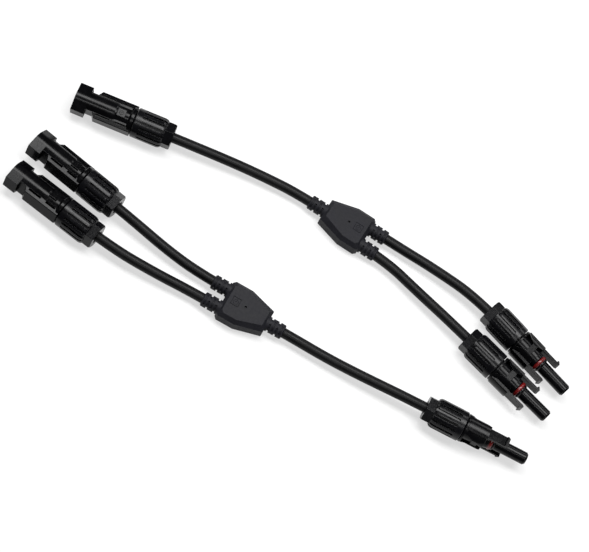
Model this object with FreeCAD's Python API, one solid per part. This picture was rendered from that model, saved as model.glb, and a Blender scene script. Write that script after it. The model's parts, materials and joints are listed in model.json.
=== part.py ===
import FreeCAD, Part
import math
import os

# A matched pair of solar Y-branch leads, in millimetres.
# +X runs along the leads from the shell connectors to the probe connectors, +Z is up, z = 0 is the table.
# Lead A has one shell connector, a trunk cable, a splitter and two probe connectors.
# Lead B has two shell connectors, a splitter, a trunk cable and one probe connector.

Vector = FreeCAD.Vector

# cable
jacket_radius = 3.1
conductor_radius = 1.25

# cap nut, measured from the hexagon's outer end (station 0 of every connector)
nut_length = 24.4
nut_radius = 9.1
hex_length = 5.0
hex_across_flats = 14.0
hex_corner_bevel = 0.7
nut_shoulder = ((0.0, 7.2), (0.25, 7.9), (0.8, 8.5), (1.6, 8.9), (2.6, nut_radius))
nut_rim_bevel = 0.4
cable_hole_radius = 4.1
flute_count = 16
flute_width = 1.6
flute_depth = 1.3
flute_end = 20.6
nut_cone_start = 5.9
nut_cone_end = 9.0
nut_seat_radius = 6.2
thread_bore_start = 9.7
thread_bore_radius = 7.2

# thread on the housing's rear neck
thread_pitch = 2.5
thread_turns = 3
neck_radius = 6.3
thread_radius = 6.85
neck_start = 11.6
gland_bore_radius = 5.0
gland_bore_end = 20.4

# clamp cage and cable gland
cage_bore_radius = 3.5
cage_start = 6.6
cage_flange_start = 9.95
cage_flange_end = 11.25
cage_end = 14.5
cage_barrel_radius = 4.65
cage_flange_radius = 5.9
cage_slot_count = 6
cage_slot_width = 0.8
gland_start = 14.9
gland_end = 20.1
fit_gap = 0.03
jacket_end = 21.5

# front of both housings
body_start = nut_length + 0.3
contact_bore_radius = 2.75
crimp_start = 23.0
crimp_end = 31.0
crimp_radius = 2.45

# clip that holds a contact in its housing
clip_start = 33.0
clip_length = 2.4
clip_inner = 1.75
clip_outer = 2.7
clip_slit = 0.8
clip_seat_radius = 1.7

# shell connector
shell_length = 62.0
shell_half_width = 8.7
shell_half_thickness = 4.9
shell_core_radius = 7.3
shell_waist_radius = 6.7
shell_core_back = 36.9
shell_edge_half = 3.9
shell_edge_round = 0.5
shell_nose_corner = 1.2
shell_pad_start = 30.6
shell_pad_end = 35.6
shell_pad_half = 2.7
shell_pad_radius = 7.35
shell_flange_radius = 8.7
shell_grooves = ((38.6, 47.2), (28.2, 35.0))
shell_groove_inner = 5.7
shell_groove_outer = 6.8
shell_groove_floor = 3.2
socket_radius = 4.0
socket_depth = 25.0
mouth_radius = 5.25
mouth_depth = 3.2
front_block_length = 8.2
window_length = 4.2
window_floor = 5.6
window_slant = 1.8
latch_channel_outer = 8.2
latch_channel_half = 3.35
pin_radius = 2.0
pin_shoulder_radius = 2.3
pin_shoulder_end = shell_length - socket_depth + 0.5
pin_tip = shell_length - 9.0

# probe connector
probe_length = 65.4
nose_radius = 3.85
probe_front = 39.0
probe_side = 9.3
probe_side_half = 4.2
probe_flange_radius = 8.7
probe_drum_radius = 7.9
probe_core_radius = 6.1
probe_recess_wide = 6.0
probe_recess_narrow = 3.3
probe_pad_start = 32.0
probe_pad_end = 35.6
probe_pad_radius = 6.6
ring_station = 42.6
ring_outer_radius = 5.2
ring_width = 2.2
ring_floor_radius = 3.5
collar_radius = 4.6
socket_bore_radius = 2.05
socket_inner_radius = 2.3
spring_thickness = 0.2
socket_wall_radius = 3.0
socket_neck_radius = 2.35
socket_start = 46.2
socket_floor = 48.6
socket_recess = 1.3
spring_start = 52.0
spring_end = 60.0
louvre_count = 10
latch_inner = 6.5
latch_outer = 8.05
latch_half = 3.05
latch_pivot = 37.2
latch_tip = 51.6
hook_start = 49.2
hook_radius = 9.2
latch_gap = 0.15

# splitter, measured from the wide end's face
splitter_length = 29.0
splitter_straight = 12.5
splitter_wide = 12.0
splitter_narrow = 7.3
splitter_height = 11.4
splitter_bevel = 2.6
splitter_lower_bevel = 1.2
branch_offset = 6.2
relief_length = 10.5
relief_radius = 4.5
relief_slot_width = 1.15
relief_slot_floor = 3.55
relief_slot_pitch = 2.35
panel_start = 4.3
panel_size = 5.2
panel_groove = 0.3
dot_radius = 0.75
dot_depth = 1.2
dot_station = 13.4
jacket_entry = 3.0
core_wall = 2.8
core_half_height = 3.5
splice_start = 10.0
splice_end = 19.0
splice_radius = 3.2
conductor_spread = 1.4

# where things lie on the table: cable end of each connector (x, y, height), yaw, roll in degrees
axis_height = nut_radius
probe_b_height = 10.0
splitter_axis = splitter_height / 2
CONNECTORS = {
    "shell_a": ("shell", (-105.6, 30.7, axis_height), 191.0, -9.0),
    "shell_b1": ("shell", (-108.5, -26.0, axis_height), 172.8, 18.0),
    "shell_b2": ("shell", (-108.1, -48.2, axis_height), 174.4, 18.0),
    "probe_a1": ("probe", (107.6, 45.6, axis_height), -16.0, 0.0),
    "probe_a2": ("probe", (104.6, 22.9, axis_height), -13.8, 0.0),
    "probe_b": ("probe", (104.2, -28.7, probe_b_height), 5.5, 84.0),
}
# splitters: centre of the wide end's face (x, y) and yaw of the direction from the wide to the narrow end
SPLITTERS = {
    "splitter_a": ((22.6, 44.6), 179.5),
    "splitter_b": ((-27.8, -37.1), 2.9),
}
# cables: connector, splitter, outlet, straight lengths past the nut and past the strain relief,
# and the middle points of the route (x, y, height)
CABLES = {
    "trunk_cable_a": ("shell_a", "splitter_a", "trunk", 8.0, 8.0, [(-68.0, 38.7, 7.3), (-46.9, 42.4, 6.1)]),
    "back_cable_a": ("probe_a1", "splitter_a", "right", 9.0, 9.0, [(67.2, 50.5, 7.0)]),
    "front_cable_a": ("probe_a2", "splitter_a", "left", 9.0, 8.0, [(64.5, 32.3, 7.0)]),
    "trunk_cable_b": ("probe_b", "splitter_b", "trunk", 8.5, 6.5, [(62.4, -32.7, 7.6), (40.5, -34.2, 6.2)]),
    "back_cable_b": ("shell_b1", "splitter_b", "left", 7.5, 9.0, [(-70.2, -30.9, 6.9)]),
    "front_cable_b": ("shell_b2", "splitter_b", "right", 8.5, 8.0, [(-69.1, -46.9, 6.9)]),
}

X_AXIS = Vector(1, 0, 0)
Y_AXIS = Vector(0, 1, 0)
Z_AXIS = Vector(0, 0, 1)
ORIGIN = Vector(0, 0, 0)
OVER = 1.0


def rod(radius, start, end, y=0.0, z=0.0):
    """Round bar along X."""
    return Part.makeCylinder(radius, end - start, Vector(start, y, z), X_AXIS)


def tube(outer, inner, start, end):
    return rod(outer, start, end).cut(rod(inner, start - OVER, end + OVER))


def block(x0, x1, y0, y1, z0, z1):
    return Part.makeBox(x1 - x0, y1 - y0, z1 - z0, Vector(x0, y0, z0))


def turned(outline):
    """Solid of revolution about X from (station, radius) corners."""
    corners = [Vector(x, r, 0) for x, r in outline]
    wire = Part.makePolygon(corners + corners[:1])
    return Part.Face(wire).revolve(ORIGIN, X_AXIS, 360)


def plate(outline, z0, z1):
    """Flat plate from (x, y) corners."""
    corners = [Vector(x, y, z0) for x, y in outline]
    wire = Part.makePolygon(corners + corners[:1])
    return Part.Face(wire).extrude(Vector(0, 0, z1 - z0))


def bar(section, start, end):
    """Bar along X with a (y, z) section."""
    corners = [Vector(start, y, z) for y, z in section]
    wire = Part.makePolygon(corners + corners[:1])
    return Part.Face(wire).extrude(Vector(end - start, 0, 0))


def mirrored_y(shape):
    return shape.mirror(ORIGIN, Y_AXIS)


def around_x(shape, count, first=0.0):
    """Copies of a shape, evenly turned about X."""
    copies = []
    for index in range(count):
        copy = shape.copy()
        copy.rotate(ORIGIN, X_AXIS, first + 360.0 * index / count)
        copies.append(copy)
    return copies


def fillet_long_edges(shape, radius):
    """Rounds the edges that run along X."""
    edges = [e for e in shape.Edges if abs(e.tangentAt(e.FirstParameter).x) > 0.999]
    return shape.makeFillet(radius, edges)


# ---------------------------------------------------------------- pieces that all connectors share

def cap_nut():
    body = turned(
        [(hex_length, 0)] + [(hex_length + x, radius) for x, radius in nut_shoulder]
        + [(nut_length - nut_rim_bevel, nut_radius), (nut_length, nut_radius - nut_rim_bevel),
           (nut_length, 0)])
    corner = hex_across_flats / 2 / math.cos(math.pi / 6)
    angles = [math.radians(60 * k) for k in range(6)]
    outline = [(corner * math.cos(angle), corner * math.sin(angle)) for angle in angles]
    hexagon = plate(outline, 0, hex_length + 0.5)
    hexagon.rotate(ORIGIN, Y_AXIS, 90)
    crown = turned([(0, 0), (0, corner - hex_corner_bevel), (hex_corner_bevel, corner),
                    (hex_length + 0.5, corner), (hex_length + 0.5, 0)])
    body = body.fuse(hexagon.common(crown))

    half = flute_width / 2
    low = nut_radius - flute_depth
    flute = block(hex_length, flute_end - half, -half, half, low, nut_radius + OVER)
    flute = flute.fuse(Part.makeCylinder(half, flute_depth + OVER, Vector(flute_end - half, 0, low), Z_AXIS))
    step = 360.0 / flute_count
    body = body.cut(Part.makeCompound(around_x(flute, flute_count, step / 2)))

    hollow = turned([
        (-OVER, 0), (-OVER, cable_hole_radius), (nut_cone_start, cable_hole_radius),
        (nut_cone_end, nut_seat_radius), (thread_bore_start, nut_seat_radius),
        (thread_bore_start, thread_bore_radius), (nut_length + OVER, thread_bore_radius),
        (nut_length + OVER, 0)])
    return body.cut(hollow)


def clamp_cage():
    finger_tip = cage_bore_radius + 0.6
    finger_root = nut_seat_radius - 0.6
    body = turned([
        (cage_start, 0), (cage_start, finger_tip), (nut_cone_end, finger_root - 0.1),
        (cage_flange_start, finger_root), (cage_flange_start, cage_flange_radius),
        (cage_flange_end, cage_flange_radius), (cage_flange_end, cage_barrel_radius),
        (cage_end, cage_barrel_radius), (cage_end, 0)])
    body = body.cut(rod(cage_bore_radius, cage_start - OVER, cage_end + OVER))
    half = cage_slot_width / 2
    slot = block(cage_start - OVER, cage_flange_start - 0.2, -half, half, 0.5, nut_radius)
    return body.cut(Part.makeCompound(around_x(slot, cage_slot_count)))


def gland_seal():
    """Rubber gland with two lips, squeezed between the housing's bore and the cable's jacket."""
    outer = gland_bore_radius - fit_gap
    middle = (gland_start + gland_end) / 2
    body = turned([
        (gland_start, 0), (gland_start, outer - 0.5), (gland_start + 0.6, outer), (middle - 0.8, outer),
        (middle - 0.4, outer - 0.5), (middle + 0.4, outer - 0.5), (middle + 0.8, outer),
        (gland_end - 0.6, outer), (gland_end, outer - 0.5), (gland_end, 0)])
    return body.cut(rod(jacket_radius + fit_gap, gland_start - OVER, gland_end + OVER))


def threaded_neck():
    """Rear neck of a housing with its right-hand thread."""
    neck = turned([
        (neck_start, 0), (neck_start, neck_radius - 0.5), (neck_start + 0.5, neck_radius),
        (body_start + OVER, neck_radius), (body_start + OVER, 0)])
    start = neck_start + 1.2
    helix = Part.makeHelix(thread_pitch, thread_pitch * thread_turns, neck_radius)
    root = neck_radius - 0.3
    half_root = thread_pitch * 0.30
    half_crest = thread_pitch * 0.12
    profile = Part.makePolygon([
        Vector(root, 0, -half_root), Vector(thread_radius, 0, -half_crest),
        Vector(thread_radius, 0, half_crest), Vector(root, 0, half_root), Vector(root, 0, -half_root)])
    ridge = Part.Wire(helix).makePipeShell([profile], True, True)
    ridge.rotate(ORIGIN, Y_AXIS, 90)
    ridge.translate(Vector(start, 0, 0))
    return neck.fuse(ridge)


def rear_hollow():
    """Space inside a housing's neck: gland seat, jacket seat and contact bore."""
    return turned([
        (neck_start - OVER, 0), (neck_start - OVER, gland_bore_radius), (gland_bore_end, gland_bore_radius),
        (gland_bore_end, jacket_radius + 0.2), (jacket_end + 0.2, jacket_radius + 0.2),
        (jacket_end + 1.4, contact_bore_radius), (crimp_end + 1.0, contact_bore_radius),
        (crimp_end + 1.0, 0)])


def crimp_barrel(end):
    """Rear of a contact: the barrel that is crimped on the conductor, with two crimp dents."""
    barrel = rod(crimp_radius, crimp_start, end)
    for station in (crimp_start + 2.2, crimp_start + 5.0):
        dent = turned([(station - 0.7, crimp_radius + OVER), (station - 0.3, crimp_radius - 0.25),
                       (station + 0.3, crimp_radius - 0.25), (station + 0.7, crimp_radius + OVER)])
        barrel = barrel.cut(dent)
    return barrel.cut(rod(conductor_radius, crimp_start - OVER, crimp_end - 1.5))


def contact_clip():
    """Split spring ring in the contact's groove, which holds the contact in its housing."""
    ring = tube(clip_outer, clip_inner, clip_start, clip_start + clip_length)
    half = clip_slit / 2
    slit = block(clip_start - OVER, clip_start + clip_length + OVER, -half, half, 0, clip_outer + OVER)
    return ring.cut(slit)


# ---------------------------------------------------------------- shell connector

def wing_section(inner, height):
    """Eight-sided (y, z) section across both wings: full width at the edges, height at y = inner."""
    w = shell_half_width
    h = shell_edge_half
    return [(w, -h), (w, h), (inner, height), (-inner, height), (-w, h), (-w, -h), (-inner, -height),
            (inner, -height)]


def shell_hood(start):
    """Front block of a shell connector, with flats that run from the wing edges on to the round core."""
    to_edge = math.atan2(shell_edge_half, shell_half_width)
    edge_radius = math.hypot(shell_edge_half, shell_half_width)
    touch = to_edge + math.acos(shell_core_radius / edge_radius)
    section = wing_section(shell_core_radius * math.cos(touch), shell_core_radius * math.sin(touch))
    return bar(section, start, shell_length)


def shell_housing():
    wing_front = shell_length - front_block_length - window_length
    front_start = shell_length - front_block_length
    core = rod(shell_core_radius, shell_core_back, shell_length)
    waist = rod(shell_waist_radius, body_start, shell_core_back + OVER)
    ramp = turned([
        (shell_core_back - 1.6, 0), (shell_core_back - 1.6, shell_waist_radius),
        (shell_core_back, shell_core_radius), (shell_core_back, 0)])
    flange = turned([
        (body_start, 0), (body_start, shell_flange_radius - 0.5), (body_start + 0.5, shell_flange_radius),
        (body_start + 2.2, shell_flange_radius), (body_start + 3.4, shell_core_radius),
        (body_start + 3.4, 0)])

    w = shell_half_width
    section = wing_section(shell_groove_inner, shell_half_thickness)
    wings = fillet_long_edges(bar(section, body_start + 0.3, shell_length), shell_edge_round)
    corner = shell_nose_corner
    outline = [
        (body_start + 0.3, -w), (shell_length - corner, -w), (shell_length, -w + corner),
        (shell_length, w - corner), (shell_length - corner, w), (body_start + 0.3, w)]
    wings = wings.common(plate(outline, -shell_half_thickness - OVER, shell_half_thickness + OVER))
    body = wings.fuse([core, waist, ramp, flange, shell_hood(front_start)])

    pad = fillet_long_edges(
        block(shell_pad_start, shell_pad_end, -shell_pad_half, shell_pad_half, 4.0, shell_pad_radius), 0.5)
    lower_pad = pad.mirror(ORIGIN, Z_AXIS)
    body = body.fuse([pad, lower_pad])

    # windows that the latch hooks snap into, one through each wing
    window = plate([
        (wing_front, window_floor), (front_start, window_floor), (front_start, w + OVER),
        (wing_front - window_slant, w + OVER), (wing_front - window_slant, w)],
        -shell_core_radius - OVER, shell_core_radius + OVER)
    # channels that let the latch arms in from the mouth
    channel = block(front_start - OVER, shell_length + OVER, window_floor, latch_channel_outer,
                    -latch_channel_half, latch_channel_half)
    # long and short grooves between wing and core, above and below
    cuts = [window, mirrored_y(window), channel, mirrored_y(channel)]
    for start, end in shell_grooves:
        groove = block(start, end, shell_groove_inner, shell_groove_outer, shell_groove_floor,
                       shell_core_radius + OVER)
        for copy in (groove, mirrored_y(groove)):
            cuts.append(copy)
            cuts.append(copy.mirror(ORIGIN, Z_AXIS))
    body = body.cut(cuts)

    body = body.fuse(threaded_neck())
    socket = turned([
        (shell_length - socket_depth, 0), (shell_length - socket_depth, socket_radius),
        (shell_length - mouth_depth - 0.8, socket_radius), (shell_length - mouth_depth, mouth_radius),
        (shell_length + OVER, mouth_radius), (shell_length + OVER, 0)])
    contact_hole = rod(contact_bore_radius, crimp_end, clip_start + 3.0)
    pin_hole = rod(pin_shoulder_radius + 0.15, clip_start + 2.0, shell_length - mouth_depth)
    return body.cut([rear_hollow(), socket, contact_hole, pin_hole])


def contact_pin():
    """Male contact: crimp barrel, collar behind the clip, and the plug pin with a rounded tip."""
    shaft = turned([
        (crimp_end - 0.5, 0), (crimp_end - 0.5, crimp_radius), (clip_start - 0.3, crimp_radius),
        (clip_start - 0.3, clip_seat_radius), (clip_start + 2.7, clip_seat_radius),
        (clip_start + 2.7, pin_shoulder_radius), (pin_shoulder_end, pin_shoulder_radius),
        (pin_shoulder_end, pin_radius), (pin_tip - 1.0, pin_radius),
        (pin_tip - 0.35, pin_radius - 0.5), (pin_tip, 0.9), (pin_tip, 0)])
    return crimp_barrel(crimp_end).fuse(shaft)


# ---------------------------------------------------------------- probe connector

def probe_housing():
    body = turned([
        (body_start, 0), (body_start, 8.3), (body_start + 0.5, probe_flange_radius),
        (body_start + 2.4, probe_flange_radius), (body_start + 3.6, probe_drum_radius + 0.35),
        (body_start + 4.8, probe_drum_radius), (probe_front - 0.4, probe_drum_radius),
        (probe_front, probe_drum_radius - 0.4), (probe_front, 0)])
    side = probe_side
    sides = block(body_start + 1.5, probe_front, -side, side, -probe_side_half, probe_side_half)
    body = body.fuse(sides.common(rod(side, body_start, probe_front)))

    # recesses above and below: they narrow to a waist, leave the round core bare, and open at the front
    wide = probe_recess_wide
    narrow = probe_recess_narrow
    recess = plate([
        (body_start + 1.4, -wide), (body_start + 1.4, wide), (probe_pad_start, narrow),
        (probe_pad_end, narrow), (probe_front + OVER, wide), (probe_front + OVER, -wide),
        (probe_pad_end, -narrow), (probe_pad_start, -narrow)], 0, nut_radius + OVER)
    recess = recess.cut(rod(probe_core_radius, body_start, probe_front + 2 * OVER))
    body = body.cut([recess, recess.mirror(ORIGIN, Z_AXIS)])
    pad = block(probe_pad_start, probe_pad_end, -narrow, narrow, 4.0, probe_pad_radius)
    body = body.fuse([pad, pad.mirror(ORIGIN, Z_AXIS)])

    # pockets in which the latch arms are rooted
    root = (latch_inner + latch_outer) / 2
    reach = (latch_outer - latch_inner) / 2 + latch_gap
    half = latch_half + latch_gap
    pocket = block(latch_pivot, probe_front + OVER, root - reach - 1.0, root + reach, -half, half)
    pocket = pocket.fuse(Part.makeCylinder(reach, 2 * half, Vector(latch_pivot, root, -half), Z_AXIS))
    cuts = [pocket, mirrored_y(pocket)]

    ring_start = ring_station - ring_width / 2
    ring_end = ring_station + ring_width / 2
    front = turned([
        (probe_front - OVER, 0), (probe_front - OVER, 5.2), (ring_start - 0.5, 5.2),
        (ring_start, 4.9), (ring_start, ring_floor_radius), (ring_end, ring_floor_radius),
        (ring_end, collar_radius), (ring_end + 0.9, collar_radius), (ring_end + 1.7, nose_radius),
        (probe_length - 1.0, nose_radius), (probe_length, nose_radius - 0.8), (probe_length, 0)])
    body = body.cut(cuts).fuse(front).fuse(threaded_neck())

    contact_hole = rod(contact_bore_radius, crimp_end, clip_start + 3.0)
    neck_hole = rod(socket_neck_radius + 0.1, clip_start + 2.0, socket_start)
    socket_hole = rod(socket_wall_radius + fit_gap, socket_start - 0.2, probe_length - socket_recess + 0.1)
    tip_hole = rod(socket_bore_radius + 0.35, probe_length - 2.0, probe_length + OVER)
    return body.cut([rear_hollow(), contact_hole, neck_hole, socket_hole, tip_hole])


def contact_socket():
    """Female contact: crimp barrel, neck and a tubular receptacle for the plug pin."""
    shaft = turned([
        (crimp_end - 0.5, 0), (crimp_end - 0.5, crimp_radius), (clip_start - 0.3, crimp_radius),
        (clip_start - 0.3, clip_seat_radius), (clip_start + 2.7, clip_seat_radius),
        (clip_start + 2.7, socket_neck_radius), (socket_start, socket_neck_radius),
        (socket_start, socket_wall_radius), (probe_length - socket_recess, socket_wall_radius),
        (probe_length - socket_recess, 0)])
    mouth = rod(socket_bore_radius, spring_start, probe_length)
    bore = rod(socket_inner_radius, socket_floor, spring_end)
    spring_seat = rod(socket_inner_radius + spring_thickness + fit_gap, spring_start, spring_end)
    return crimp_barrel(crimp_end).fuse(shaft).cut([mouth, bore, spring_seat])


def contact_spring():
    """Louvred spring band inside the receptacle."""
    start = spring_start + 0.2
    end = spring_end - 0.2
    band = tube(socket_inner_radius + spring_thickness, socket_inner_radius, start, end)
    louvre = block(start + 1.0, end - 1.0, -0.25, 0.25, 0, socket_wall_radius)
    return band.cut(Part.makeCompound(around_x(louvre, louvre_count)))


def sealing_ring():
    half = ring_width / 2 - fit_gap
    floor = ring_floor_radius + fit_gap
    shoulder = ring_outer_radius - 0.55
    low = Vector(ring_station - half, floor, 0)
    left = Vector(ring_station - half, shoulder, 0)
    top = Vector(ring_station, ring_outer_radius, 0)
    right = Vector(ring_station + half, shoulder, 0)
    end = Vector(ring_station + half, floor, 0)
    edges = [Part.LineSegment(low, left).toShape(), Part.Arc(left, top, right).toShape(),
             Part.LineSegment(right, end).toShape(), Part.LineSegment(end, low).toShape()]
    return Part.Face(Part.Wire(edges)).revolve(ORIGIN, X_AXIS, 360)


def latch_arm():
    """Latch arm on the left, +Y side: round root, straight blade and a hook at the tip."""
    root = (latch_inner + latch_outer) / 2
    reach = (latch_outer - latch_inner) / 2
    blade = plate([
        (latch_pivot, latch_inner), (latch_tip - 0.9, latch_inner), (latch_tip, latch_inner + 0.6),
        (latch_tip, latch_outer - 0.3), (hook_start + 0.9, hook_radius), (hook_start + 0.4, hook_radius),
        (hook_start, latch_outer), (latch_pivot, latch_outer)], -latch_half, latch_half)
    heel = Part.makeCylinder(reach, 2 * latch_half, Vector(latch_pivot, root, -latch_half), Z_AXIS)
    return blade.fuse(heel)


# ---------------------------------------------------------------- splitter

def strain_relief(y):
    """Slotted sleeve that points along -X from the origin plane, on the axis at the given y."""
    sleeve = turned([(-relief_length, 0), (-relief_length, relief_radius - 0.6),
                     (-relief_length + 0.6, relief_radius), (2.0, relief_radius), (2.0, 0)])
    cuts = []
    for index in range(4):
        start = -relief_length + 1.2 + index * relief_slot_pitch
        ring = tube(relief_radius + OVER, relief_slot_floor, start, start + relief_slot_width)
        keep = block(start - OVER, start + relief_slot_width + OVER, -relief_radius - 2 * OVER,
                     relief_radius + 2 * OVER, -1.1, 1.1)
        if index % 2:
            keep.rotate(Vector(start, 0, 0), X_AXIS, 90)
        cuts.append(ring.cut(keep))
    sleeve = sleeve.cut(cuts)
    sleeve.translate(Vector(0, y, 0))
    return sleeve


def splitter_outline(inset):
    """Corners of the Y-shaped body, drawn in by inset on every side."""
    wide = splitter_wide - inset
    narrow = splitter_narrow - inset
    taper = math.atan2(splitter_wide - splitter_narrow, splitter_length - splitter_straight)
    shift = inset * math.tan(taper / 2)
    nick = 1.6
    return [
        (inset + nick, -wide), (splitter_straight - shift, -wide), (splitter_length - inset, -narrow + shift),
        (splitter_length - inset, narrow - shift), (splitter_straight - shift, wide), (inset + nick, wide),
        (inset, wide - nick), (inset, -wide + nick)]


def splitter_overmould():
    half = splitter_height / 2
    levels = ((-half, splitter_lower_bevel), (-half + splitter_lower_bevel, 0.0),
              (half - splitter_bevel, 0.0), (half, splitter_bevel * 0.85))
    wires = []
    for z, inset in levels:
        corners = [Vector(x, y, z) for x, y in splitter_outline(inset)]
        wires.append(Part.makePolygon(corners + corners[:1]))
    body = Part.makeLoft(wires, True, True)
    narrow_relief = strain_relief(0)
    narrow_relief.rotate(ORIGIN, Z_AXIS, 180)
    narrow_relief.translate(Vector(splitter_length, 0, 0))
    body = body.fuse([strain_relief(branch_offset), strain_relief(-branch_offset), narrow_relief])
    half_panel = panel_size / 2
    top = half - panel_groove
    panel = block(panel_start, panel_start + panel_size, -half_panel, half_panel, top, half + OVER)
    dot = Part.makeCylinder(dot_radius, dot_depth + OVER, Vector(dot_station, 0, half - dot_depth), Z_AXIS)
    inner = block(panel_start + panel_groove, panel_start + panel_size - panel_groove,
                  -half_panel + panel_groove, half_panel - panel_groove, top, half + OVER)
    body = body.cut([panel.cut(inner), dot])
    bore = jacket_radius + fit_gap
    jackets = [rod(bore, -relief_length - OVER, jacket_entry, branch_offset),
               rod(bore, -relief_length - OVER, jacket_entry, -branch_offset),
               rod(bore, splitter_length - jacket_entry, splitter_length + relief_length + OVER)]
    return body.cut(jackets).cut([splitter_core_shape()])


def splitter_core_shape():
    """Outer form of the inner pre-moulded core."""
    far = splitter_length - jacket_entry
    wide = splitter_wide - core_wall
    narrow = splitter_narrow - core_wall
    return plate([(jacket_entry, -wide), (splitter_straight, -wide), (far, -narrow), (far, narrow),
                  (splitter_straight, wide), (jacket_entry, wide)], -core_half_height, core_half_height)


def splice_ferrule():
    """Crimped copper ferrule that joins the three conductors."""
    body = rod(splice_radius, splice_start, splice_end)
    dent = block(splice_start + 2.5, splice_end - 2.5, -1.6, 1.6, 2.6, 4.0)
    return body.cut([dent, dent.mirror(ORIGIN, Z_AXIS)])


def branch_conductor(side):
    """Bare conductor from a branch cable's jacket end into the ferrule."""
    entry = Vector(jacket_entry, side * branch_offset, 0)
    knee = Vector(splice_start - 0.6, side * conductor_spread, 0)
    inside = Vector(splice_start + 4.0, side * conductor_spread, 0)
    first = Part.makeCylinder(conductor_radius, (knee - entry).Length, entry, knee - entry)
    first = first.common(block(jacket_entry, splice_end, -12, 12, -3, 3))
    second = Part.makeCylinder(conductor_radius, (inside - knee).Length, knee, X_AXIS)
    return first.fuse([second, Part.makeSphere(conductor_radius, knee)])


def splitter_conductors():
    trunk = rod(conductor_radius, splice_end - 4.0, splitter_length - jacket_entry)
    return [branch_conductor(1), branch_conductor(-1), trunk]


# ---------------------------------------------------------------- placing on the table

def lay_connector(shape, name):
    kind, end, yaw, roll = CONNECTORS[name]
    placed = shape.copy()
    placed.rotate(ORIGIN, X_AXIS, roll)
    placed.rotate(ORIGIN, Z_AXIS, yaw)
    placed.translate(Vector(*end))
    return placed


def lay_splitter(shape, name):
    centre, yaw = SPLITTERS[name]
    placed = shape.copy()
    placed.rotate(ORIGIN, Z_AXIS, yaw)
    placed.translate(Vector(centre[0], centre[1], splitter_axis))
    return placed


def connector_point(name, station):
    """Point on a connector's axis."""
    kind, end, yaw, roll = CONNECTORS[name]
    angle = math.radians(yaw)
    return Vector(*end) + Vector(math.cos(angle), math.sin(angle), 0) * station


def splitter_point(name, outlet, distance):
    """Point on an outlet's axis: distance past the strain relief's end, negative inside."""
    centre, yaw = SPLITTERS[name]
    angle = math.radians(yaw)
    along = Vector(math.cos(angle), math.sin(angle), 0)
    across = Vector(-math.sin(angle), math.cos(angle), 0)
    base = Vector(centre[0], centre[1], splitter_axis)
    if outlet == "trunk":
        return base + along * (splitter_length + relief_length + distance)
    side = branch_offset if outlet == "left" else -branch_offset
    return base + across * side - along * (relief_length + distance)


def cable_route(name):
    connector, splitter, outlet, behind_nut, past_relief, middle = CABLES[name]
    points = [connector_point(connector, jacket_end), connector_point(connector, -behind_nut)]
    points += [Vector(*place) for place in middle]
    points.append(splitter_point(splitter, outlet, past_relief))
    points.append(splitter_point(splitter, outlet, -relief_length - jacket_entry))
    return points


def cable_tube(name):
    """Tube along straight runs joined by tangent arcs, each as large as its two runs allow."""
    points = cable_route(name)
    edges = []
    radii = []
    position = points[0]
    for before, corner, after in zip(points, points[1:], points[2:]):
        back = before - corner
        ahead = after - corner
        turn = math.pi - back.getAngle(ahead)
        reach = 0.45 * min(back.Length, ahead.Length)
        radius = reach / math.tan(turn / 2)
        back.normalize()
        ahead.normalize()
        start = corner + back * reach
        end = corner + ahead * reach
        bisector = back + ahead
        bisector.normalize()
        middle = corner + bisector * (radius / math.cos(turn / 2) - radius)
        edges.append(Part.LineSegment(position, start).toShape())
        edges.append(Part.Arc(start, middle, end).toShape())
        radii.append(round(radius, 1))
        position = end
    edges.append(Part.LineSegment(position, points[-1]).toShape())
    path = Part.Wire(edges)
    ring = Part.Wire(Part.makeCircle(jacket_radius, points[0], points[1] - points[0]))
    solid = path.makePipeShell([ring], True, False)
    expected = math.pi * jacket_radius ** 2 * path.Length
    runs = [round((b - a).Length, 1) for a, b in zip(points, points[1:])]
    print(name, "length %.1f" % path.Length, "runs", runs, "radii", radii,
          "volume ratio %.4f" % (solid.Volume / expected))
    print("   route", [tuple(round(v, 1) for v in p) for p in points])
    return solid


# ---------------------------------------------------------------- export

os.makedirs("parts", exist_ok=True)
SAVED = {}


def save(name, solids):
    """Writes one node: a single solid or a group of separate solids."""
    group = solids if isinstance(solids, list) else [solids]
    clean = []
    for shape in group:
        clean += [solid for solid in shape.removeSplitter().Solids]
    whole = clean[0] if len(clean) == 1 else Part.makeCompound(clean)
    if not whole.isValid():
        print("NOT VALID", name)
    whole.exportStep("parts/" + name + ".step")
    SAVED[name] = whole
    print(name, "solids", len(clean), "volume %.1f" % whole.Volume)


SHARED = {"nut": cap_nut(), "cage": clamp_cage(), "gland": gland_seal()}
SHELL_PIECES = {"housing": shell_housing(), "pin": contact_pin()}
left_latch = latch_arm()
PROBE_PIECES = {
    "housing": probe_housing(), "socket": contact_socket(), "o_ring": sealing_ring(),
    "left_latch": left_latch, "right_latch": mirrored_y(left_latch)}
clip = contact_clip()
stub = rod(conductor_radius, jacket_end, crimp_end - 1.6)
spring = contact_spring()

for name, (kind, end, yaw, roll) in CONNECTORS.items():
    pieces = dict(SHARED)
    pieces.update(SHELL_PIECES if kind == "shell" else PROBE_PIECES)
    for piece, shape in pieces.items():
        save(name + "_" + piece, lay_connector(shape, name))

ferrule = splice_ferrule()
conductors = splitter_conductors()
core = splitter_core_shape()
ferrule = ferrule.cut(conductors)
core = core.cut(conductors).cut([rod(splice_radius, splice_start, splice_end)])
overmould = splitter_overmould()

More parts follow.
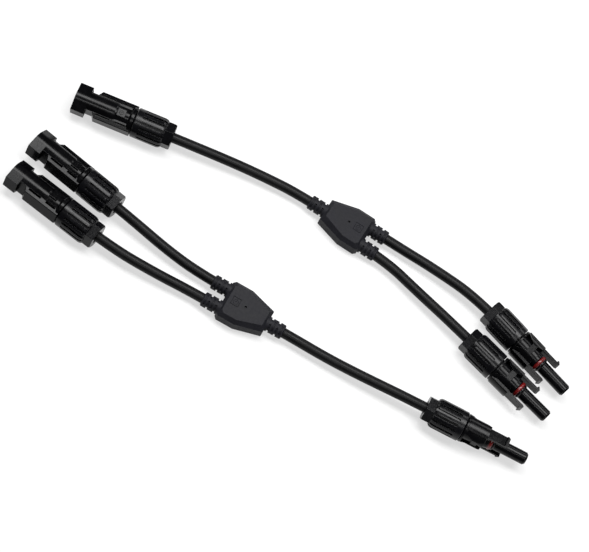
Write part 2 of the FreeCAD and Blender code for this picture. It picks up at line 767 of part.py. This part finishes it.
for lead in ("a", "b"):
    splitter = "splitter_" + lead
    ends = [name for name in CONNECTORS if name.split("_")[1].startswith(lead)]
    probes = [name for name in ends if name.startswith("probe")]
    save(splitter + "_overmould", lay_splitter(overmould, splitter))
    save(splitter + "_core", lay_splitter(core, splitter))
    save(splitter + "_ferrule", lay_splitter(ferrule, splitter))
    copper = [lay_splitter(conductor, splitter) for conductor in conductors]
    copper += [lay_connector(stub, name) for name in ends]
    save("conductors_" + lead, copper)
    save("contact_clips_" + lead, [lay_connector(clip, name) for name in ends])
    save("contact_springs_" + lead, [lay_connector(spring, name) for name in probes])

for name in CABLES:
    save(name, cable_tube(name))

own = [shape for name, shape in SAVED.items() if "cable" not in name]
box = own[0].BoundBox
for shape in own:
    box.add(shape.BoundBox)
print("own box", box)
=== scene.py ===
"""Looks for a matched pair of solar Y-branch leads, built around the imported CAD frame. Metres throughout."""
import json
import math

import bpy
from mathutils import Matrix, Vector


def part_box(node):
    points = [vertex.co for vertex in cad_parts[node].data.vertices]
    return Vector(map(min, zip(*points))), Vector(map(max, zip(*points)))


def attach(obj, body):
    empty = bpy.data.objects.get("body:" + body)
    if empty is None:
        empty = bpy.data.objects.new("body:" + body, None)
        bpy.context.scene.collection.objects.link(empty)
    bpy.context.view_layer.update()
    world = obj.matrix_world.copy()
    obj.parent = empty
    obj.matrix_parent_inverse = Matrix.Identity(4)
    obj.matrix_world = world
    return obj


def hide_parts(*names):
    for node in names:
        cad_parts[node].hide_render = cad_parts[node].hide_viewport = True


MM = 0.001
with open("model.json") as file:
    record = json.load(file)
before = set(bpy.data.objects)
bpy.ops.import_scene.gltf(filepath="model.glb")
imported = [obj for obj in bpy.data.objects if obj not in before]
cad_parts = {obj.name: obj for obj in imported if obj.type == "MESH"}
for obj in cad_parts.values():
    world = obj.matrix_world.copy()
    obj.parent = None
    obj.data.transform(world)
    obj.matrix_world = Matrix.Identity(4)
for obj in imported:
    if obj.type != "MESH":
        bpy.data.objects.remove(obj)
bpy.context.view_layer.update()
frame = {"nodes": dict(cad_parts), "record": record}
nodes = frame["nodes"]

# ---------------------------------------------------------------- sizes

CABLE_DIAMETER = 6.2 * MM
EDGE_ROUND = 0.22 * MM
EDGE_ROUND_SAMPLES = 6

# finishes: how coarse the patches, rubs, waves and grain are, and how deep they go
CLOUD_SCALE = 90.0
RUB_SCALE = 700.0
WAVE_SCALE = 260.0
WAVE_DEPTH = 0.05 * MM
GRAIN_DEPTH = 0.04 * MM
METAL_GRAIN_SCALE = 4000.0
METAL_GRAIN_DEPTH = 0.02 * MM

# emblems: (body, roll in degrees) of each shell, (body, yaw in degrees) of each splitter, and where they sit
SHELLS = {"shell_a": ("lead_a", -9.0), "shell_b1": ("lead_b", 18.0), "shell_b2": ("lead_b", 18.0)}
SPLITTERS = {"splitter_a": ("lead_a", 179.5), "splitter_b": ("lead_b", 2.9)}
PAD_BEHIND_MOUNT = 11.65 * MM
PAD_HEIGHT = 7.35 * MM
PANEL_BEHIND_MOUNT = 5.1 * MM
SHELL_EMBLEM_RADIUS = 1.25 * MM
SPLITTER_EMBLEM_RADIUS = 1.5 * MM
EMBLEM_WIRE = 0.16 * MM
EMBLEM_RING_POINTS = 16
EMBLEM_BAR_HALF = 0.4

# view: the camera stands far off, looks down steeply and is turned about its own axis
VIEW_TARGET = Vector((-0.8, 1.2, 0.0)) * MM
VIEW_DISTANCE = 1100 * MM
VIEW_TILT = math.radians(23.0)
VIEW_AZIMUTH = math.radians(3.0)
VIEW_ROLL = math.radians(29.6)
VIEW_LENS = 114.0
SENSOR_WIDTH = 36.0

# studio: a dim white room, a softly glowing floor and long soft boxes (name, place, size, power)
WORLD_STRENGTH = 0.10
FLOOR_HALF = 6.0
FLOOR_DROP = 0.02 * MM
FLOOR_COLOUR = (0.30, 0.30, 0.30, 1)
FLOOR_GLOW = 0.58
WHITE = (1.0, 1.0, 1.0, 1)
LIGHTS = (
    ("overhead", (0.0, 0.20, 0.85), (1.2, 0.32), 14.0),
    ("side", (-0.95, 0.25, 0.60), (0.25, 0.6), 2.5),
    ("far", (0.35, 1.00, 0.70), (0.9, 0.2), 3.0),
    ("front", (0.10, -0.62, 1.45), (0.7, 0.16), 4.5),
)

# cable routes: the same points as the cables' solids have, in millimetres; the lengths are in metres
ROUTES = {
    "trunk_cable_a": [(-126.7, 26.6, 9.1), (-97.7, 32.2, 9.1), (-68.0, 38.7, 7.3), (-46.9, 42.4, 6.1),
                      (-24.9, 45.0, 5.7), (-3.4, 44.8, 5.7)],
    "back_cable_a": [(128.3, 39.7, 9.1), (98.9, 48.1, 9.1), (67.2, 50.5, 7.0), (42.2, 50.6, 5.7),
                     (19.7, 50.8, 5.7)],
    "front_cable_a": [(125.5, 17.8, 9.1), (95.9, 25.0, 9.1), (64.5, 32.3, 7.0), (41.0, 38.2, 5.7),
                      (19.5, 38.4, 5.7)],
    "trunk_cable_b": [(125.6, -26.6, 10.0), (95.7, -29.5, 10.0), (62.4, -32.7, 7.6), (40.5, -34.2, 6.2),
                      (18.1, -34.8, 5.7), (-1.8, -35.8, 5.7)],
    "back_cable_b": [(-129.8, -23.3, 9.1), (-101.1, -26.9, 9.1), (-70.2, -30.9, 6.9), (-47.6, -31.9, 5.7),
                     (-25.1, -30.8, 5.7)],
    "front_cable_b": [(-129.5, -46.1, 9.1), (-99.6, -49.0, 9.1), (-69.1, -46.9, 6.9), (-46.0, -44.2, 5.7),
                      (-24.5, -43.1, 5.7)],
}


# ---------------------------------------------------------------- materials

def new_material(name):
    material = bpy.data.materials.new(name)
    material.use_nodes = True
    tree = material.node_tree
    shader = tree.nodes["Principled BSDF"]
    return material, tree, shader


def noise(tree, scale, detail=3.0, roughness=0.5, stretch=(1.0, 1.0, 1.0)):
    coordinates = tree.nodes.new("ShaderNodeTexCoord")
    mapping = tree.nodes.new("ShaderNodeMapping")
    mapping.inputs["Scale"].default_value = stretch
    texture = tree.nodes.new("ShaderNodeTexNoise")
    texture.inputs["Scale"].default_value = scale
    texture.inputs["Detail"].default_value = detail
    texture.inputs["Roughness"].default_value = roughness
    tree.links.new(coordinates.outputs["Object"], mapping.inputs["Vector"])
    tree.links.new(mapping.outputs["Vector"], texture.inputs["Vector"])
    return texture.outputs["Fac"]


def ramp(tree, value, low, high, start=0.35, end=0.65):
    """Maps a 0..1 value to a range of numbers."""
    node = tree.nodes.new("ShaderNodeMapRange")
    node.inputs["From Min"].default_value = start
    node.inputs["From Max"].default_value = end
    node.inputs["To Min"].default_value = low
    node.inputs["To Max"].default_value = high
    tree.links.new(value, node.inputs["Value"])
    return node.outputs["Result"]


def colour_mix(tree, factor, first, second):
    node = tree.nodes.new("ShaderNodeMix")
    node.data_type = "RGBA"
    node.inputs["A"].default_value = (*first, 1)
    node.inputs["B"].default_value = (*second, 1)
    tree.links.new(factor, node.inputs["Factor"])
    return node.outputs["Result"]


def bump(tree, shader, height, strength, distance):
    node = tree.nodes.new("ShaderNodeBump")
    node.inputs["Strength"].default_value = strength
    node.inputs["Distance"].default_value = distance
    tree.links.new(height, node.inputs["Height"])
    previous = shader.inputs["Normal"].links
    if previous:
        tree.links.new(previous[0].from_socket, node.inputs["Normal"])
    tree.links.new(node.outputs["Normal"], shader.inputs["Normal"])


def rounded_edges(tree, shader, radius):
    """Catches light along sharp edges, as the small radii of a mould do."""
    node = tree.nodes.new("ShaderNodeBevel")
    node.samples = EDGE_ROUND_SAMPLES
    node.inputs["Radius"].default_value = radius
    tree.links.new(node.outputs["Normal"], shader.inputs["Normal"])


def moulded_plastic(name, dark, light, gloss, matt, grain_scale, grain, specular=0.5, wave=0.12,
                    lines=(1.0, 1.0, 1.0)):
    """Moulded plastic or rubber: cloudy colour, rubbed and dull patches, spark-eroded grain, slight waviness."""
    material, tree, shader = new_material(name)
    cloud = noise(tree, CLOUD_SCALE, 4.0)
    handled = noise(tree, RUB_SCALE, 5.0, 0.65, lines)
    fine = noise(tree, grain_scale, 2.0, 0.6)
    tree.links.new(colour_mix(tree, ramp(tree, cloud, 0.0, 1.0), dark, light), shader.inputs["Base Color"])
    patches = ramp(tree, cloud, gloss, (gloss + matt) / 2)
    rubbed = ramp(tree, handled, 0.0, (matt - gloss) / 2, 0.42, 0.62)
    total = tree.nodes.new("ShaderNodeMath")
    total.operation = "ADD"
    tree.links.new(patches, total.inputs[0])
    tree.links.new(rubbed, total.inputs[1])
    tree.links.new(total.outputs["Value"], shader.inputs["Roughness"])
    shader.inputs["Specular IOR Level"].default_value = specular
    rounded_edges(tree, shader, EDGE_ROUND)
    bump(tree, shader, fine, grain, GRAIN_DEPTH)
    bump(tree, shader, noise(tree, WAVE_SCALE, 1.0, 0.5, lines), wave, WAVE_DEPTH)
    return material


def metal(name, dark, light, gloss, matt, scale):
    material, tree, shader = new_material(name)
    cloud = noise(tree, scale, 4.0)
    tree.links.new(colour_mix(tree, ramp(tree, cloud, 0.0, 1.0), dark, light), shader.inputs["Base Color"])
    tree.links.new(ramp(tree, cloud, gloss, matt), shader.inputs["Roughness"])
    shader.inputs["Metallic"].default_value = 1.0
    bump(tree, shader, noise(tree, METAL_GRAIN_SCALE, 2.0), 0.15, METAL_GRAIN_DEPTH)
    return material


# stretches the cables' pattern lengthwise
ALONG = (0.12, 1.0, 1.0)
MATERIALS = {
    "housing_plastic": moulded_plastic("housing_plastic", (0.0007, 0.0007, 0.0010), (0.0016, 0.0016, 0.0021),
                                       0.17, 0.30, 5200.0, 0.05, 0.14, 0.08),
    "nut_plastic": moulded_plastic("nut_plastic", (0.0010, 0.0010, 0.0015), (0.0020, 0.0020, 0.0029),
                                   0.20, 0.32, 5200.0, 0.05, 0.21, 0.08),
    "cage_plastic": moulded_plastic("cage_plastic", (0.012, 0.012, 0.013), (0.018, 0.018, 0.020),
                                    0.4, 0.55, 3000.0, 0.3, 0.3),
    "gland_rubber": moulded_plastic("gland_rubber", (0.012, 0.012, 0.012), (0.018, 0.018, 0.018),
                                    0.6, 0.75, 3000.0, 0.4, 0.3),
    "red_silicone": moulded_plastic("red_silicone", (0.065, 0.0026, 0.0026), (0.120, 0.0045, 0.0045),
                                    0.18, 0.32, 2500.0, 0.10),
    "splitter_elastomer": moulded_plastic("splitter_elastomer", (0.0060, 0.0060, 0.0080),
                                          (0.0088, 0.0088, 0.0118), 0.50, 0.64, 3600.0, 0.30, 0.14),
    "core_plastic": moulded_plastic("core_plastic", (0.10, 0.10, 0.10), (0.13, 0.13, 0.13),
                                    0.45, 0.6, 3000.0, 0.3),
    "cable_jacket": moulded_plastic("cable_jacket", (0.0022, 0.0022, 0.0024), (0.0042, 0.0042, 0.0046),
                                    0.36, 0.50, 4200.0, 0.18, 0.13, 0.2, ALONG),
    "tinned_contact": metal("tinned_contact", (0.60, 0.59, 0.56), (0.76, 0.74, 0.70), 0.22, 0.38, 900.0),
    "bare_copper": metal("bare_copper", (0.62, 0.28, 0.14), (0.80, 0.42, 0.24), 0.25, 0.4, 900.0),
    "spring_steel": metal("spring_steel", (0.50, 0.50, 0.50), (0.62, 0.62, 0.62), 0.2, 0.3, 900.0),
    "spring_copper": metal("spring_copper", (0.62, 0.52, 0.38), (0.74, 0.66, 0.52), 0.2, 0.3, 900.0),
}

slot_of = {part["node"]: part["material_slot"] for part in frame["record"]["subparts"]}
for name, obj in nodes.items():
    obj.data.materials.clear()
    obj.data.materials.append(MATERIALS[slot_of[name]])


# ---------------------------------------------------------------- cables

def make_cable(name):
    points = [Vector(p) * MM for p in ROUTES[name]]
    curve = bpy.data.curves.new(name + "_look", "CURVE")
    curve.dimensions = "3D"
    spline = curve.splines.new("NURBS")
    spline.points.add(len(points) - 1)
    for target, point in zip(spline.points, points):
        target.co = (*point, 1.0)
    spline.order_u = 3
    spline.use_endpoint_u = True
    spline.resolution_u = 24
    curve.bevel_depth = CABLE_DIAMETER / 2
    curve.bevel_resolution = 12
    curve.use_fill_caps = True
    curve.materials.append(MATERIALS["cable_jacket"])
    obj = bpy.data.objects.new(name + "_look", curve)
    bpy.context.scene.collection.objects.link(obj)
    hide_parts(name)
    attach(obj, "lead_" + name[-1])


for name in ROUTES:
    make_cable(name)


# ---------------------------------------------------------------- small moulded details

mounts = {mount["name"]: mount for mount in frame["record"]["mounts"]}


def add_piece(obj, body, slot):
    """Puts a new piece of the object in the scene, with its finish and the body it moves with."""
    obj.data.materials.append(MATERIALS[slot])
    bpy.context.scene.collection.objects.link(obj)
    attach(obj, body)


def make_emblem(name, centre, normal, radius, body, slot):
    """Plain raised ring with a short bar, where the real piece has a moulded mark."""
    across = normal.orthogonal().normalized()
    along = normal.cross(across)
    curve = bpy.data.curves.new(name, "CURVE")
    curve.dimensions = "3D"
    ring = curve.splines.new("NURBS")
    ring.points.add(EMBLEM_RING_POINTS - 1)
    for index, point in enumerate(ring.points):
        angle = 2 * math.pi * index / EMBLEM_RING_POINTS
        point.co = (*(centre + (across * math.cos(angle) + along * math.sin(angle)) * radius), 1.0)
    ring.order_u = 4
    ring.use_cyclic_u = True
    middle = curve.splines.new("POLY")
    middle.points.add(1)
    for point, side in zip(middle.points, (-EMBLEM_BAR_HALF, EMBLEM_BAR_HALF)):
        point.co = (*(centre + across * side * radius), 1.0)
    curve.bevel_depth = EMBLEM_WIRE
    curve.bevel_resolution = 3
    curve.use_fill_caps = True
    add_piece(bpy.data.objects.new(name, curve), body, slot)


for name, (body, roll) in SHELLS.items():
    mount = mounts[name + "_plug_pin"]
    axis = Vector(mount["axis"]).normalized()
    up = Matrix.Rotation(math.radians(roll), 3, axis) @ Vector((0, 0, 1))
    pad = Vector(mount["pos_m"]) - axis * PAD_BEHIND_MOUNT
    for side, direction in (("upper", up), ("lower", -up)):
        make_emblem("%s_%s_emblem" % (name, side), pad + direction * PAD_HEIGHT, direction,
                    SHELL_EMBLEM_RADIUS, body, "housing_plastic")

for name, (body, yaw) in SPLITTERS.items():
    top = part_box(name + "_overmould")[1][2]
    along = Vector((math.cos(math.radians(yaw)), math.sin(math.radians(yaw)), 0))
    panel = Vector(mounts[name + "_underside"]["pos_m"]) - along * PANEL_BEHIND_MOUNT
    panel.z = top
    make_emblem(name + "_emblem", panel, Vector((0, 0, 1)), SPLITTER_EMBLEM_RADIUS, body, "splitter_elastomer")


# ---------------------------------------------------------------- floor, light and camera

def make_floor():
    mesh = bpy.data.meshes.new("floor")
    corners = [(x * FLOOR_HALF, y * FLOOR_HALF, 0) for x, y in ((-1, -1), (1, -1), (1, 1), (-1, 1))]
    mesh.from_pydata(corners, [], [(0, 1, 2, 3)])
    floor = bpy.data.objects.new("floor", mesh)
    floor.location.z = -FLOOR_DROP
    bpy.context.scene.collection.objects.link(floor)
    material, _, shader = new_material("floor")
    shader.inputs["Base Color"].default_value = FLOOR_COLOUR
    shader.inputs["Roughness"].default_value = 0.9
    shader.inputs["Specular IOR Level"].default_value = 0.1
    shader.inputs["Emission Color"].default_value = WHITE
    shader.inputs["Emission Strength"].default_value = FLOOR_GLOW
    mesh.materials.append(material)


def area_light(name, place, aim, size, power):
    data = bpy.data.lights.new(name, "AREA")
    data.shape = "RECTANGLE"
    data.size, data.size_y = size
    data.energy = power
    light = bpy.data.objects.new(name, data)
    light.location = place
    direction = Vector(aim) - Vector(place)
    light.rotation_euler = direction.to_track_quat("-Z", "Y").to_euler()
    bpy.context.scene.collection.objects.link(light)


def make_lights():
    world = bpy.data.worlds.new("studio")
    world.use_nodes = True
    background = world.node_tree.nodes["Background"]
    background.inputs["Color"].default_value = WHITE
    background.inputs["Strength"].default_value = WORLD_STRENGTH
    bpy.context.scene.world = world
    for name, place, size, power in LIGHTS:
        area_light(name, place, (0, 0, 0), size, power)


def make_camera():
    sin_t, cos_t = math.sin(VIEW_TILT), math.cos(VIEW_TILT)
    turn = Matrix.Rotation(VIEW_AZIMUTH, 3, "Z")
    place = turn @ Vector((0, -sin_t, cos_t)) * VIEW_DISTANCE + VIEW_TARGET
    right = turn @ Vector((1, 0, 0))
    up = turn @ Vector((0, cos_t, sin_t))
    back = right.cross(up)
    image_right = right * math.cos(VIEW_ROLL) + up * math.sin(VIEW_ROLL)
    image_up = up * math.cos(VIEW_ROLL) - right * math.sin(VIEW_ROLL)
    data = bpy.data.cameras.new("camera")
    data.lens = VIEW_LENS
    data.sensor_width = SENSOR_WIDTH
    data.sensor_fit = "HORIZONTAL"
    data.clip_start = 0.01
    camera = bpy.data.objects.new("camera", data)
    camera.matrix_world = Matrix.Translation(place) @ Matrix((image_right, image_up, back)).transposed().to_4x4()
    bpy.context.scene.collection.objects.link(camera)
    bpy.context.scene.camera = camera


make_floor()
make_lights()
make_camera()
bpy.context.scene.view_settings.view_transform = "Standard"

bpy.context.view_layer.update()
